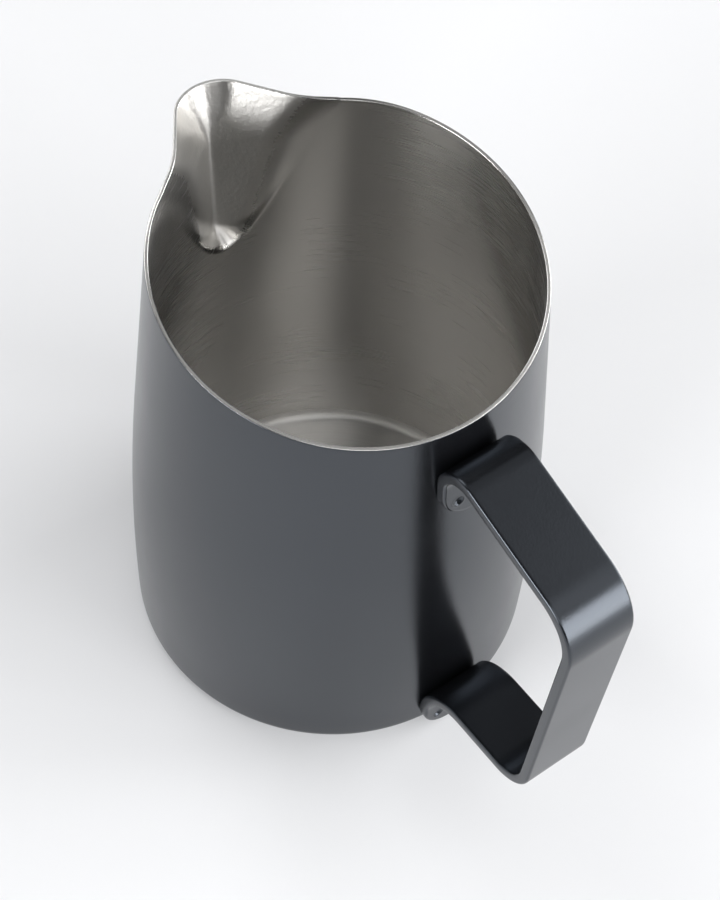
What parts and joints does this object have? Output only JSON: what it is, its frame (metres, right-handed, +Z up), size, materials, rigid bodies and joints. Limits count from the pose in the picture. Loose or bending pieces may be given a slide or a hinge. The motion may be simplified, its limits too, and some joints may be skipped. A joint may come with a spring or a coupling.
{
  "type": "milk frothing pitcher",
  "caption": "Steel milk frothing pitcher with a dark satin outside, bare brushed inside, a sloping rim, a pressed pouring spout and a bent flat strap handle.",
  "frame": {"origin": "centre of the round flat base, on the surface that the pitcher stands on", "axes": "+Z up along the axis of the round wall, +X towards the handle, -X towards the spout, mirror plane XZ"},
  "size_m": [0.1359, 0.0896, 0.1195],
  "materials": {
    "bare_steel": "brushed round the inside, ground along the rim",
    "satin_coat": "fine satin powder coat, near black",
    "weld_metal": "fused steel, hidden"
  },
  "bodies": {
    "root": {"vessel_body": "bare_steel", "handle_strap": "satin_coat", "upper_spot_welds": "weld_metal", "lower_spot_welds": "weld_metal"}
  },
  "joints": []
}
